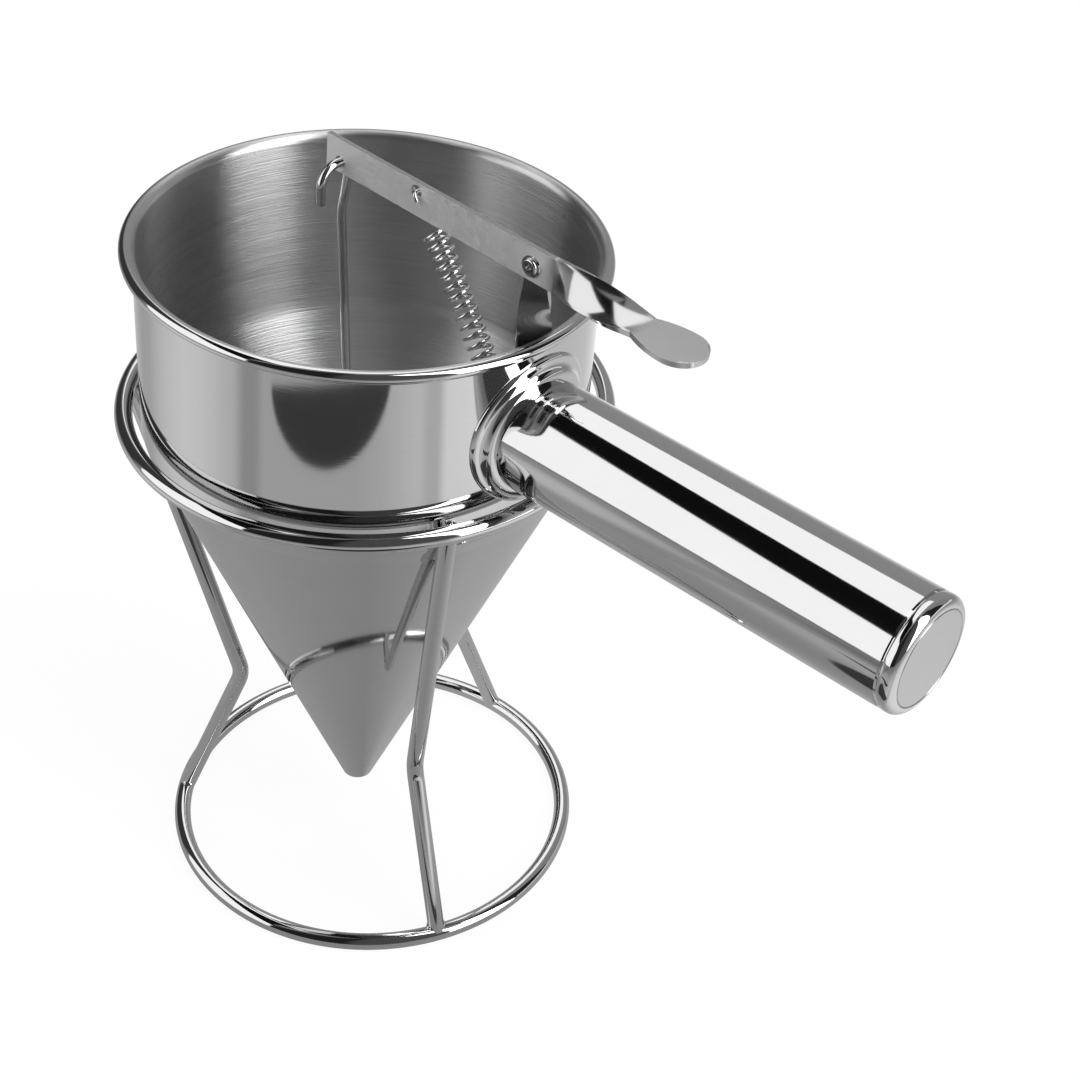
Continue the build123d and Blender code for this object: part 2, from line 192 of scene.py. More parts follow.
def brushedSteel(name, look):
    # satin sheet that was brushed round the bowl, so its lights stretch up and down
    material, tap, shader = startSteel(name)
    place = placeOn(tap, True)
    hair = noiseAt(tap, place, (1, 1, look["hairStretch"]), look["hairScale"], 2.0)
    streak = noiseAt(tap, place, (1, 1, look["streakStretch"]), look["streakScale"], 3.0)
    cloud = noiseAt(tap, place, (1, 1, 1), look["cloudScale"], 2.0)
    grain = 0.45 * hair + 0.4 * streak + 0.15 * cloud
    tap.feed(shader.inputs["Base Color"], greyMix(tap, grain, look["dark"], look["light"]))
    tap.feed(shader.inputs["Roughness"], look["rough"] + look["roughSpread"] * (streak - 0.5))
    coarse = {"Strength": look["streakBump"], "Distance": look["streakDepth"] * mm, "Height": streak}
    fine = {"Strength": look["hairBump"], "Distance": look["hairDepth"] * mm, "Height": hair}
    fine["Normal"] = tap.node("ShaderNodeBump", {}, coarse)
    tap.feed(shader.inputs["Normal"], tap.node("ShaderNodeBump", {}, fine))
    shader.inputs["Anisotropic"].default_value = look["stretch"]
    shader.inputs["Anisotropic Rotation"].default_value = 0.25
    return material


def leverFinish(name, look):
    # satin strip and pad, with the twist between them left bright from the press. The strip's colour is
    # painted lighter and the twist's and pad's darker: painted light and shade on one sheet.
    material, tap, shader = startSteel(name)
    place = placeOn(tap, True)
    along = axesOf(tap, place)[0] / mm
    lines = noiseAt(tap, place, (1, 40, 40), look["lineScale"], 2.0)
    cloud = noiseAt(tap, place, (1, 1, 1), look["cloudScale"], 3.0)
    satin = rampOver(tap, along, *look["span"], look["satin"])
    groove = rampOver(tap, along, *look["span"], look["groove"])
    tone = 0.5 * cloud + 0.5 * lines
    # painted light on the strip's colour, painted shade on the twist's and pad's
    strip = look["stripPaintedLight"] + (1 - look["stripPaintedLight"]) * tone
    shade = groove * strip + (1 - groove) * look["twistPaintedShade"] * tone
    tap.feed(shader.inputs["Base Color"], greyMix(tap, shade, look["dark"], look["light"]))
    rough = look["bright"] + (look["rough"] - look["bright"]) * satin
    tap.feed(shader.inputs["Roughness"], rough + look["roughSpread"] * (lines - 0.5) * satin)
    sockets = {"Strength": groove, "Distance": look["bumpDepth"] * mm, "Height": lines}
    tap.feed(shader.inputs["Normal"], tap.node("ShaderNodeBump", {}, sockets))
    return material


def turnedFinish(name, look):
    # satin face with the fine rings that a lathe leaves
    material, tap, shader = startSteel(name)
    place = placeOn(tap, True)
    along, up = axesOf(tap, place)[1:]
    rise = up - look["height"] * mm
    radius = tap.maths("SQRT", along * along + rise * rise)
    ring = tap.node("ShaderNodeCombineXYZ", {}, {"X": radius})
    lines = noiseAt(tap, ring, (1, 1, 1), look["lineScale"], 3.0)
    cloud = noiseAt(tap, place, (1, 1, 1), look["cloudScale"], 3.0)
    shade = greyMix(tap, 0.6 * lines + 0.4 * cloud, look["dark"], look["light"])
    tap.feed(shader.inputs["Base Color"], shade)
    tap.feed(shader.inputs["Roughness"], look["rough"] + look["roughSpread"] * (lines - 0.5))
    sockets = {"Strength": look["bump"], "Distance": look["bumpDepth"] * mm, "Height": lines}
    tap.feed(shader.inputs["Normal"], tap.node("ShaderNodeBump", {}, sockets))
    return material


# Steels, and the CAD nodes that wear them

polishedLook = {
    "upright": True, "cloudScale": 40.0, "lineStretch": (1, 1, 12), "lineScale": 260.0,
    "waveStretch": (1, 1, 0.35), "waveScale": 45.0, "waveDepth": 0.02, "smudge": 0.04,
    "dark": 0.6, "light": 0.66, "rough": 0.05, "roughSpread": 0.03, "bump": 0.04, "bumpDepth": 0.02,
}
tubeLook = dict(polishedLook, lineStretch=(1, 14, 14), lineScale=300.0, waveDepth=0.003, rough=0.05)
coneLook = dict(polishedLook, rough=0.05, roughSpread=0.03, waveDepth=0.01, tilt=0.07)
wireLook = dict(
    polishedLook, upright=False, lineStretch=(1, 1, 1), rough=0.045, roughSpread=0.02, waveDepth=0.004,
)
# the strip's colour is painted lighter and the twist's and pad's darker: painted light and shade
leverLook = {
    "lineScale": 420.0, "cloudScale": 60.0, "dark": 0.55, "light": 0.96, "rough": 0.42, "bright": 0.12,
    "roughSpread": 0.08, "bumpDepth": 0.1, "stripPaintedLight": 0.75, "twistPaintedShade": 0.12, "span": (-20, 100),
    "satin": [(-20, 1.0), (50, 1.0), (53, 0.0), (72, 0.0), (76, 0.6), (100, 0.6)],
    "groove": [(-20, 1.0), (48, 1.0), (53, 0.0), (100, 0.0)],
}
plugLook = dict(polishedLook, rough=0.2)
capLook = {
    "height": 142.9, "lineScale": 2600.0, "cloudScale": 90.0, "dark": 0.46, "light": 0.55, "rough": 0.24,
    "roughSpread": 0.08, "bump": 0.3, "bumpDepth": 0.02,
}
# the bracket's steel is painted darker than the other steel: painted shade for the dark reflections on its
# face
bracketPaintedShadeLook = dict(polishedLook, dark=0.42, light=0.5, rough=0.05, waveDepth=0.01)
# polished edge steel, its colour painted lighter than the faces beside it: painted highlight
edgeHighlightLook = dict(polishedLook, dark=0.66, light=0.72, rough=0.08)
springLook = dict(wireLook, dark=0.7, light=0.85, rough=0.1)
insideLook = {
    "hairStretch": 60, "hairScale": 60.0, "streakStretch": 26, "streakScale": 26.0, "cloudScale": 30.0,
    "dark": 0.5, "light": 0.78, "rough": 0.3, "roughSpread": 0.08, "stretch": 1.0,
    "streakBump": 0.25, "streakDepth": 0.05, "hairBump": 1.0, "hairDepth": 0.1,
}

steels = {
    "wallSteel": steel("wallSteel", polishedLook),
    "insideSteel": brushedSteel("insideSteel", insideLook),
    "coneSteel": steel("coneSteel", coneLook),
    "tubeSteel": steel("tubeSteel", tubeLook),
    "wireSteel": steel("wireSteel", wireLook),
    "leverSteel": leverFinish("leverSteel", leverLook),
    "plugSteel": steel("plugSteel", plugLook),
    "capSteel": turnedFinish("capSteel", capLook),
    "bracketPaintedShadeSteel": steel("bracketPaintedShadeSteel", bracketPaintedShadeLook),
    "springSteel": steel("springSteel", springLook),
    "edgeHighlightSteel": steel("edgeHighlightSteel", edgeHighlightLook),
}
finishes = {
    "base_ring": "wireSteel", "top_ring": "wireSteel",
    "leg_front": "wireSteel", "leg_rear": "wireSteel", "leg_left": "wireSteel",
    "bowl_wall": "wallSteel", "cone": "coneSteel",
    "handle_flange": "tubeSteel", "handle_spigot": "tubeSteel", "handle_tube": "tubeSteel",
    "handle_cap": "tubeSteel", "pivot_bracket": "bracketPaintedShadeSteel", "pivot_rivet": "wireSteel",
    "pivot_washer_front": "wireSteel", "pivot_washer_rear": "wireSteel",
    "spring_anchor": "wireSteel", "return_spring": "springSteel", "lever": "leverSteel",
    "valve_rod": "wireSteel", "valve_plug": "plugSteel",
}
for nodeName, finish in finishes.items():
    nodes[nodeName].data.materials.clear()
    nodes[nodeName].data.materials.append(steels[finish])
print("materials set on", len(finishes), "nodes")


# Modelling helpers

def clearPick():
    if bpy.context.object and bpy.context.object.mode != "OBJECT":
        bpy.ops.object.mode_set(mode="OBJECT")
    bpy.ops.object.select_all(action="DESELECT")


def applyModifier(piece, kind, settings):
    modifier = piece.modifiers.new(kind.title(), kind)
    for key, value in settings.items():
        setattr(modifier, key, value)
    bpy.context.view_layer.objects.active = piece
    bpy.ops.object.modifier_apply(modifier=modifier.name)


def pickVerts(piece, test):
    # selects the vertices that pass the test, from edit mode, and goes back to it
    bpy.ops.object.mode_set(mode="OBJECT")
    for vertex in piece.data.vertices:
        vertex.select = test(vertex.co)
    for edge in piece.data.edges:
        edge.select = all(piece.data.vertices[i].select for i in edge.vertices)
    for face in piece.data.polygons:
        face.select = all(piece.data.vertices[i].select for i in face.vertices)
    bpy.ops.object.mode_set(mode="EDIT")
    bpy.ops.mesh.select_mode(type="VERT")


def pickNear(piece, point):
    spot = Vector(point) * mm
    pickVerts(piece, lambda place: (place - spot).length < 0.02 * mm)


def startPoint(name, point):
    # one vertex in edit mode, where an outline starts
    clearPick()
    bpy.ops.mesh.primitive_plane_add(size=1.0)
    piece = bpy.context.object
    piece.name = name
    bpy.ops.object.mode_set(mode="EDIT")
    bpy.ops.mesh.select_all(action="SELECT")
    bpy.ops.mesh.merge(type="CENTER")
    bpy.ops.transform.translate(value=Vector(point) * mm)
    return piece


def drawOn(points):
    # extrudes the picked vertex along the points, which start where it is
    for here, there in zip(points, points[1:]):
        step = (Vector(there) - Vector(here)) * mm
        bpy.ops.mesh.extrude_region_move(TRANSFORM_OT_translate={"value": step})


def roundCorner(piece, point, offset, segments):
    pickNear(piece, point)
    bpy.ops.mesh.bevel(
        offset=offset * mm, offset_type="OFFSET", segments=segments, profile=0.5,
        affect="VERTICES", clamp_overlap=False,
    )


def closeMesh():
    bpy.ops.mesh.select_all(action="SELECT")
    bpy.ops.mesh.remove_doubles(threshold=0.001 * mm)
    bpy.ops.mesh.normals_make_consistent(inside=False)


def smoothShade(piece, angle):
    clearPick()
    piece.select_set(True)
    bpy.context.view_layer.objects.active = piece
    bpy.ops.object.shade_smooth_by_angle(angle=math.radians(angle))
    applyModifier(piece, "WEIGHTED_NORMAL", {"mode": "FACE_AREA", "weight": 50, "keep_sharp": True})


def turnedPiece(name, outline, rounds, spin):
    # spins a closed outline once round an axis; rounds are corner number, offset and segments
    piece = startPoint(name, outline[0])
    drawOn(outline + outline[:1])
    bpy.ops.mesh.select_all(action="SELECT")
    bpy.ops.mesh.remove_doubles(threshold=0.001 * mm)
    for corner, offset, segments in rounds:
        roundCorner(piece, outline[corner], offset, segments)
    bpy.ops.mesh.select_all(action="SELECT")
    centre = Vector(spin["centre"]) * mm
    bpy.ops.mesh.spin(steps=spin["steps"], angle=2 * math.pi, center=centre, axis=spin["axis"])
    closeMesh()
    smoothShade(piece, spin["smooth"])
    return piece


def bowSheet(piece, test, push):
    # presses the sheet's vertices that pass the test by the push worked out for each
    for vertex in piece.data.vertices:
        if test(vertex.co):
            vertex.co += push(vertex.co)


def thicken(piece, sheet):
    applyModifier(piece, "SOLIDIFY", {"thickness": sheet * mm, "offset": 0.0, "use_even_offset": True})


def breakEdges(piece, width, looks):
    # rounds a sheet's cut edges, and gives the rounds the second of the looks, a polished steel painted
    # lighter: painted highlight on the edges
    for look in looks:
        piece.data.materials.append(steels[look])
    applyModifier(piece, "BEVEL", {
        "width": width * mm, "segments": 3, "material": 1,
        "limit_method": "ANGLE", "angle_limit": math.radians(50),
    })


def ease(share):
    return share * share * (3 - 2 * share)


def partEase(share, part):
    # between an eased run and an even one
    return part * ease(share) + (1 - part) * share


def finishPiece(piece, node, looks, body=None):
    # the funnel's pieces and the lever were modelled upright, so they take the funnel's place
    clearPick()
    kept = [face.material_index for face in piece.data.polygons]
    piece.data.materials.clear()
    for look in looks:
        piece.data.materials.append(steels[look])
    piece.data.polygons.foreach_set("material_index", kept)
    if body:
        piece.data.transform(funnelPlace)
        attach(piece, body)
    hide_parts(node)


# Bowl: wall with a rolled rim and a soft lower corner, and its cone, each spun from an outline

bowlSize = {
    "wall": 49.8, "sheet": 0.7, "corner": 121.4, "rim": 166.8, "rimReach": 2.7, "rimRound": 1.9,
    "bead": 2.6, "beadRound": 1.35, "beadUnder": 1.215, "underRound": 0.8, "polish": 50.6,
    "cornerRound": 9.0, "seamDrop": 5.0, "coneAngle": 22.897, "outlet": 3.6, "outletLow": 12.0,
    "outletEdge": 0.3, "steps": 200,
}


def coneLine(drop, inward):
    angle = math.radians(bowlSize["coneAngle"])
    across = bowlSize["wall"] - drop * math.sin(angle) - inward * math.cos(angle)
    return (across, 0, bowlSize["corner"] - drop * math.cos(angle) + inward * math.sin(angle))


def makeBowl(size):
    sheet = size["sheet"]
    angle = math.radians(size["coneAngle"])
    inner = size["wall"] - sheet
    innerCorner = size["corner"] + (sheet / math.cos(angle) - sheet) / math.tan(angle)
    underRim = size["rim"] - size["bead"]
    lip = size["wall"] + size["rimReach"]
    outline = [
        (size["wall"], 0, underRim), (size["wall"], 0, size["corner"]), coneLine(size["seamDrop"], 0),
        coneLine(size["seamDrop"], sheet), (inner, 0, innerCorner), (inner, 0, size["rim"]),
        (lip, 0, size["rim"]), (lip, 0, underRim),
    ]
    bend = math.tan(angle / 2)
    rounds = [
        (0, size["underRound"], 6), (1, (size["cornerRound"] + sheet) * bend, 10),
        (4, size["cornerRound"] * bend, 10), (5, size["rimRound"], 12),
        (6, size["beadRound"], 12), (7, size["beadUnder"], 10),
    ]
    spin = {"centre": (0, 0, 0), "axis": (0, 0, 1), "steps": size["steps"], "smooth": 40}
    bowl = turnedPiece("bowlWall", outline, rounds, spin)
    for face in bowl.data.polygons:
        outward = Vector((face.center.x, face.center.y, 0)).normalized()
        upward = face.normal.z > 0.3 and face.center.xy.length < size["polish"] * mm
        inside = face.normal.dot(outward) < -0.02 or upward
        face.material_index = 1 if inside else 0
    finishPiece(bowl, "bowl_wall", ["wallSteel", "insideSteel"], "funnel")
    return bowl


def makeCone(size):
    sheet = size["sheet"]
    across = sheet / math.cos(math.radians(size["coneAngle"]))
    outline = [
        coneLine(size["seamDrop"], 0), (size["outlet"], 0, size["outletLow"]),
        (size["outlet"] - across, 0, size["outletLow"]), coneLine(size["seamDrop"], sheet),
    ]
    rounds = [(1, size["outletEdge"], 4), (2, size["outletEdge"], 4)]
    spin = {"centre": (0, 0, 0), "axis": (0, 0, 1), "steps": size["steps"], "smooth": 40}
    cone = turnedPiece("coneShell", outline, rounds, spin)
    for face in cone.data.polygons:
        outward = Vector((face.center.x, face.center.y, 0)).normalized()
        face.material_index = 1 if face.normal.dot(outward) < -0.02 else 0
    finishPiece(cone, "cone", ["coneSteel", "insideSteel"], "funnel")
    return cone


bowl = makeBowl(bowlSize)
print("bowl spun,", len(bowl.data.polygons), "faces")
cone = makeCone(bowlSize)
print("cone spun,", len(cone.data.polygons), "faces")


# Handle flange: a plate pressed to the round wall, with a rolled collar round the tube

flangeSize = {
    "axis": 142.9, "wall": 49.8, "sunk": 0.3, "bore": 12.5, "outer": 16.9, "lift": 1.1, "sheet": 0.95,
    "neck": 14.8, "collar": 14.2, "height": 2.3, "edge": 0.8, "dip": 0.9, "roll": 1.1, "steps": 220,
}


def makeFlange(size):
    back = size["wall"] - size["sunk"]
    plate = size["wall"] + size["sheet"]
    top = size["wall"] + size["height"]
    runs = [
        (back, size["bore"]), (back, size["outer"]), (plate, size["outer"]),
        (plate, size["neck"]), (top, size["collar"]), (top, size["bore"]),
    ]
    outline = [(along, 0, size["axis"] + up) for along, up in runs]
    spin = {"centre": (0, 0, size["axis"]), "axis": (1, 0, 0), "steps": size["steps"], "smooth": 40}
    rounds = [(2, size["edge"], 8), (3, size["dip"], 8), (4, size["roll"], 10)]
    flange = turnedPiece("handleFlange", outline, rounds, spin)

    def wallBow(place):
        aside = place.y / mm
        away = math.hypot(aside, place.z / mm - size["axis"])
        share = min(max((away - size["bore"]) / (size["outer"] - size["bore"]), 0), 1)
        drop = math.sqrt(size["wall"] ** 2 - aside ** 2) - size["wall"]
        return Vector((drop, 0, size["lift"] * ease(share))) * mm

    bowSheet(flange, lambda place: True, wallBow)
    smoothShade(flange, 40)
    finishPiece(flange, "handle_flange", ["tubeSteel"], "funnel")
    return flange


flange = makeFlange(flangeSize)
print("flange pressed,", len(flange.data.polygons), "faces")


# Handle cap: rolled edge, a fine groove and a flat face, turned round the handle's axis

capSize = {
    "axis": 142.9, "tubeEnd": 144.0, "skirt": 6.0, "bore": 11.8, "shoulder": 12.1, "groove": 0.4,
    "outer": 12.6, "length": 3.4, "edge": 2.0, "beadRound": 0.9, "ringOut": 10.5, "ringIn": 10.1,
    "ringDeep": 0.25, "steps": 160,
}


def makeCap(size):
    start = size["tubeEnd"]
    back = start - size["skirt"]
    bead = start + size["groove"]
    face = bead + size["length"]
    middle = (size["ringOut"] + size["ringIn"]) / 2
    runs = [
        (back, 0), (back, size["bore"]), (start, size["bore"]), (start, size["shoulder"]),
        (bead, size["shoulder"]), (bead, size["outer"]), (face, size["outer"]),
        (face, size["ringOut"]), (face - size["ringDeep"], middle), (face, size["ringIn"]), (face, 0),
    ]
    outline = [(along, 0, size["axis"] + up) for along, up in runs]
    spin = {"centre": (0, 0, size["axis"]), "axis": (1, 0, 0), "steps": size["steps"], "smooth": 40}
    cap = turnedPiece("handleCap", outline, [(6, size["edge"], 14), (5, size["beadRound"], 8)], spin)
    for part in cap.data.polygons:
        away = math.hypot(part.center.y, part.center.z - size["axis"] * mm)
        front = part.center.x > (face - size["ringDeep"] - 0.01) * mm and away < size["ringOut"] * mm
        part.material_index = 1 if front else 0
    finishPiece(cap, "handle_cap", ["tubeSteel", "capSteel"], "funnel")
    return cap


cap = makeCap(capSize)
print("cap turned,", len(cap.data.polygons), "faces")


# Weld beads where the legs meet the base hoop, and a nub of weld under the top hoop

weldSize = {
    "footAway": 48.3, "footUp": 3.7, "foot": (1.9, 2.5, 1.3), "lumps": 0.28,
    "nubAway": 52.4, "nubUp": 123.4, "nubAside": 3.4, "nub": (1.2, 1.7, 1.0), "nubSeed": 7,
    "legs": (-26.0, 94.0, 218.2),
}


def makeWeld(name, angle, away, up, shape, seed):
    clearPick()
    bpy.ops.mesh.primitive_ico_sphere_add(subdivisions=4, radius=1.0)
    bead = bpy.context.object
    bead.name = name
    bpy.ops.object.mode_set(mode="EDIT")
    bpy.ops.mesh.select_all(action="SELECT")
    bpy.ops.transform.resize(value=Vector(shape) * mm)
    bpy.ops.transform.vertex_random(offset=weldSize["lumps"] * mm, normal=1.0, seed=seed)
    bpy.ops.mesh.vertices_smooth(factor=0.5, repeat=3)
    bpy.ops.object.mode_set(mode="OBJECT")
    turn = Matrix.Rotation(math.radians(angle), 4, "Z")
    bead.data.transform(turn @ Matrix.Translation(Vector((away, 0, up)) * mm))
    smoothShade(bead, 60)
    clearPick()
    bead.data.materials.clear()
    bead.data.materials.append(steels["wireSteel"])
    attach(bead, "stand")


def makeWelds(size):
    for number, angle in enumerate(size["legs"]):
        name = "footWeld%d" % number
        makeWeld(name, angle, size["footAway"], size["footUp"], size["foot"], number + 1)
    nubAngle = size["legs"][0] + size["nubAside"]
    makeWeld("ringWeld", nubAngle, size["nubAway"], size["nubUp"], size["nub"], size["nubSeed"])


makeWelds(weldSize)
print("welds made")


# Lever: strip, quarter twist, and thumb pad, drawn from one sheet

leverSize = {
    "pivot": (45.8, 0, 180.9), "slope": 2.1, "sheet": 1.2, "depth": 7.6, "middle": 0.4, "tail": -58.5,
    "twistStart": 5.4, "twistLength": 23.0, "twistSteps": 46, "twistEase": 0.35, "padLift": -0.6,
    "padLength": 14.8, "padWidth": 11.6, "edge": 0.42,
    "noseTurn": 86, "noseSteps": 14, "sideSteps": 8, "rows": 10,
    "holes": ((-54.5, -1.0, 1.35), (-32.2, 2.0, 1.5), (0.0, 0.0, 1.26)),
}


def stripGrid(name, rows, low, high, place):
    # a flat band of faces between two corners, in the XZ plane and facing -Y
    clearPick()
    bpy.ops.mesh.primitive_grid_add(x_subdivisions=1, y_subdivisions=rows, size=1.0)
    band = bpy.context.object
    band.name = name
    size = Vector((high[0] - low[0], high[1] - low[1], 1)) * mm
    middle = Vector(((low[0] + high[0]) / 2, 0, (low[1] + high[1]) / 2)) * mm
    stand = Matrix.Rotation(math.radians(90), 4, "X")
    band.data.transform(place @ Matrix.Translation(middle) @ stand @ Matrix.Diagonal((*size, 1)))
    return band


def boreHole(piece, middle, axis, radius, length=6, sides=40):
    clearPick()
    bpy.ops.mesh.primitive_cylinder_add(vertices=sides, radius=radius * mm, depth=length * mm)
    drill = bpy.context.object
    turn = Vector((0, 0, 1)).rotation_difference(Vector(axis)).to_matrix().to_4x4()
    drill.data.transform(Matrix.Translation(Vector(middle) * mm) @ turn)
    applyModifier(piece, "BOOLEAN", {"operation": "DIFFERENCE", "object": drill, "solver": "EXACT"})
    bpy.data.objects.remove(drill)


def makeLever(size):
    half = size["depth"] / 2
    start = size["twistStart"]
    heel = start + size["twistLength"]
    middle = size["middle"]
    low = (size["tail"], middle - half)
    high = (start, middle + half)
    lever = stripGrid("lever", size["rows"], low, high, Matrix.Identity(4))
    bpy.context.view_layer.objects.active = lever
    bpy.ops.object.mode_set(mode="EDIT")
    pickVerts(lever, lambda place: place.x > (start - 0.1) * mm)
    steps = size["twistSteps"]
    for step in range(steps):
        before = partEase(step / steps, size["twistEase"])
        after = partEase((step + 1) / steps, size["twistEase"])
        move = Vector((size["twistLength"] / steps, 0, size["padLift"] * (after - before))) * mm
        bpy.ops.mesh.extrude_region_move(TRANSFORM_OT_translate={"value": move})
        along = start + size["twistLength"] * (step + 1) / steps
        here = Vector((along, 0, middle + size["padLift"] * after)) * mm
        turn = math.radians(90) * (after - before)
        bpy.ops.transform.rotate(value=turn, orient_axis="X", orient_type="GLOBAL", center_override=here)
    # thumb pad: its sides swell from the twist and close in a round nose
    padHalf = size["padWidth"] / 2
    bulge = heel + size["padLength"] - padHalf
    run = bulge - heel
    swell = padHalf - half
    sideRound = (run * run + swell * swell) / (2 * swell)
    stations = []
    for step in range(size["sideSteps"]):
        along = run * (step + 1) / size["sideSteps"]
        across = padHalf - sideRound + math.sqrt(sideRound ** 2 - (run - along) ** 2)
        stations.append((heel + along, across))
    for step in range(size["noseSteps"]):
        angle = math.radians(size["noseTurn"] * (step + 1) / size["noseSteps"])
        stations.append((bulge + padHalf * math.sin(angle), padHalf * math.cos(angle)))
    level = (middle + size["padLift"]) * mm
    last = (heel, half)
    for along, across in stations:
        bpy.ops.mesh.extrude_region_move(TRANSFORM_OT_translate={"value": ((along - last[0]) * mm, 0, 0)})
        ratio = across / last[1]
        bpy.ops.transform.resize(value=(1, ratio, 1), center_override=(along * mm, 0, level))
        last = (along, across)
    bpy.ops.object.mode_set(mode="OBJECT")
    thicken(lever, size["sheet"])
    for along, up, radius in size["holes"]:
        boreHole(lever, (along, 0, up), (0, 1, 0), radius)
    breakEdges(lever, size["edge"], ["leverSteel", "edgeHighlightSteel"])
    # the strip's cut edges are painted bright between their rounds too: painted highlight
    for face in lever.data.polygons:
        if face.center.x < size["twistStart"] * mm and abs(face.normal.y) < 0.5:
            face.material_index = 1
    smoothShade(lever, 40)
    tip = Matrix.Rotation(math.radians(size["slope"]), 4, "Y")
    lever.data.transform(Matrix.Translation(Vector(size["pivot"]) * mm) @ tip)
    lever.visible_glossy = False  # the polished handle under it shows clean bands of light
    finishPiece(lever, "lever", ["leverSteel", "edgeHighlightSteel"], "lever")
    return lever


lever = makeLever(leverSize)
print("lever made,", len(lever.data.polygons), "faces")


# Pivot bracket: a strip on the wall that twists a quarter turn into the lever's ear

bracketSize = {
    "foot": (48.4, 1.53), "stem": (45.8, 1.55), "aside": 1.81, "sheet": 1.0, "width": 8.2,
    "earWidth": 6.2, "footLow": 144.8, "jogLow": 150.8, "plateLow": 155.8, "twistLow": 156.8,
    "earLow": 177.6, "pivot": 180.9, "bow": 0.17, "bore": 1.2, "edge": 0.34,
    "rows": 12, "jogSteps": 8, "twistSteps": 44, "noseTurn": 86, "noseSteps": 12,
}


def makeBracket(size):
    half = size["width"] / 2
    earHalf = size["earWidth"] / 2
    footPlace = Matrix.Translation(Vector((*size["foot"], 0)) * mm)
    footPlace = footPlace @ Matrix.Rotation(math.radians(90 + size["aside"]), 4, "Z")
    low = (-half, size["footLow"])
    high = (half, size["jogLow"])
    bracket = stripGrid("pivotBracket", size["rows"], low, high, footPlace)
    bpy.context.view_layer.objects.active = bracket
    bpy.ops.object.mode_set(mode="EDIT")
    pickVerts(bracket, lambda place: place.z > (size["jogLow"] - 0.1) * mm)
    # the jog carries the strip inward from the wall, and the plate stands up from it
    foot = Vector((*size["foot"], size["jogLow"]))
    stem = Vector((*size["stem"], size["plateLow"]))
    here = foot
    steps = size["jogSteps"]
    for step in range(steps):
        share = (step + 1) / steps
        there = foot.lerp(stem, ease(share))
        there.z = foot.z + (stem.z - foot.z) * share
        bpy.ops.mesh.extrude_region_move(TRANSFORM_OT_translate={"value": (there - here) * mm})
        here = there
    lift = Vector((0, 0, size["twistLow"] - size["plateLow"]))
    bpy.ops.mesh.extrude_region_move(TRANSFORM_OT_translate={"value": lift * mm})
    # quarter twist, narrowing to the ear
    steps = size["twistSteps"]
    rise = size["earLow"] - size["twistLow"]
    for step in range(steps):
        before = ease(step / steps)
        after = ease((step + 1) / steps)
        bpy.ops.mesh.extrude_region_move(TRANSFORM_OT_translate={"value": (0, 0, rise / steps * mm)})
        centre = Vector((*size["stem"], size["twistLow"] + rise * (step + 1) / steps)) * mm
        turn = math.radians(90 + size["aside"]) * (after - before)
        bpy.ops.transform.rotate(value=turn, orient_axis="Z", orient_type="GLOBAL", center_override=centre)
        ratio = (half + (earHalf - half) * after) / (half + (earHalf - half) * before)
        bpy.ops.transform.resize(value=(ratio, ratio, 1), center_override=centre)
    # round ear
    stations = [(size["pivot"], earHalf)]
    for step in range(size["noseSteps"]):
        angle = math.radians(size["noseTurn"] * (step + 1) / size["noseSteps"])
        stations.append((size["pivot"] + earHalf * math.sin(angle), earHalf * math.cos(angle)))
    last = (size["earLow"], earHalf)
    for up, across in stations:
        bpy.ops.mesh.extrude_region_move(TRANSFORM_OT_translate={"value": (0, 0, (up - last[0]) * mm)})
        ratio = across / last[1]
        centre = Vector((*size["stem"], up)) * mm
        bpy.ops.transform.resize(value=(ratio, 1, 1), center_override=centre)
        last = (up, across)
    bpy.ops.object.mode_set(mode="OBJECT")

    def wallBow(place):
        share = min(max((place.z / mm - size["jogLow"]) / (size["plateLow"] - size["jogLow"]), 0), 1)
        aside = (place.y / mm - size["foot"][1]) / half
        return Vector((size["bow"] * (1 - ease(share)) * (1 - aside ** 2), 0, 0)) * mm

    bowSheet(bracket, lambda place: place.z < size["plateLow"] * mm, wallBow)
    thicken(bracket, size["sheet"])
    boreHole(bracket, (*size["stem"], size["pivot"]), (0, 1, 0), size["bore"])
    breakEdges(bracket, size["edge"], ["bracketPaintedShadeSteel", "edgeHighlightSteel"])
    smoothShade(bracket, 40)
    finishPiece(bracket, "pivot_bracket", ["bracketPaintedShadeSteel", "edgeHighlightSteel"], "funnel")
    return bracket


bracket = makeBracket(bracketSize)
print("bracket made,", len(bracket.data.polygons), "faces")


# Return spring: coils screwed from one point, hooked ends drawn on, then made round as wire

springSize = {
    "hole": (15.081, 0.9349, 183.664), "staple": (42.6088, 0.1409, 140.8133),
    "wire": 0.9, "coil": 2.35, "pitch": 2.2, "coilStart": 8.4, "turns": 16, "steps": 26,
    "rear": 1.4, "tail": 1.9, "lead": 4.6, "hookReach": 1.6, "bend": 0.9,
    "footAside": 0.6, "footLead": 1.4, "hookShort": 0.6, "hookTail": 0.4,
}


def wireFromPath(piece, diameter, sides):
    # turns a line of edges into round wire with closed ends
    clearPick()
    piece.select_set(True)
    bpy.context.view_layer.objects.active = piece
    bpy.ops.object.convert(target="CURVE")
    wire = bpy.context.object
    wire.data.bevel_depth = diameter / 2 * mm
    wire.data.bevel_resolution = sides
    wire.data.use_fill_caps = True
    bpy.ops.object.convert(target="MESH")
    wire = bpy.context.object
    smoothShade(wire, 60)
    return wire


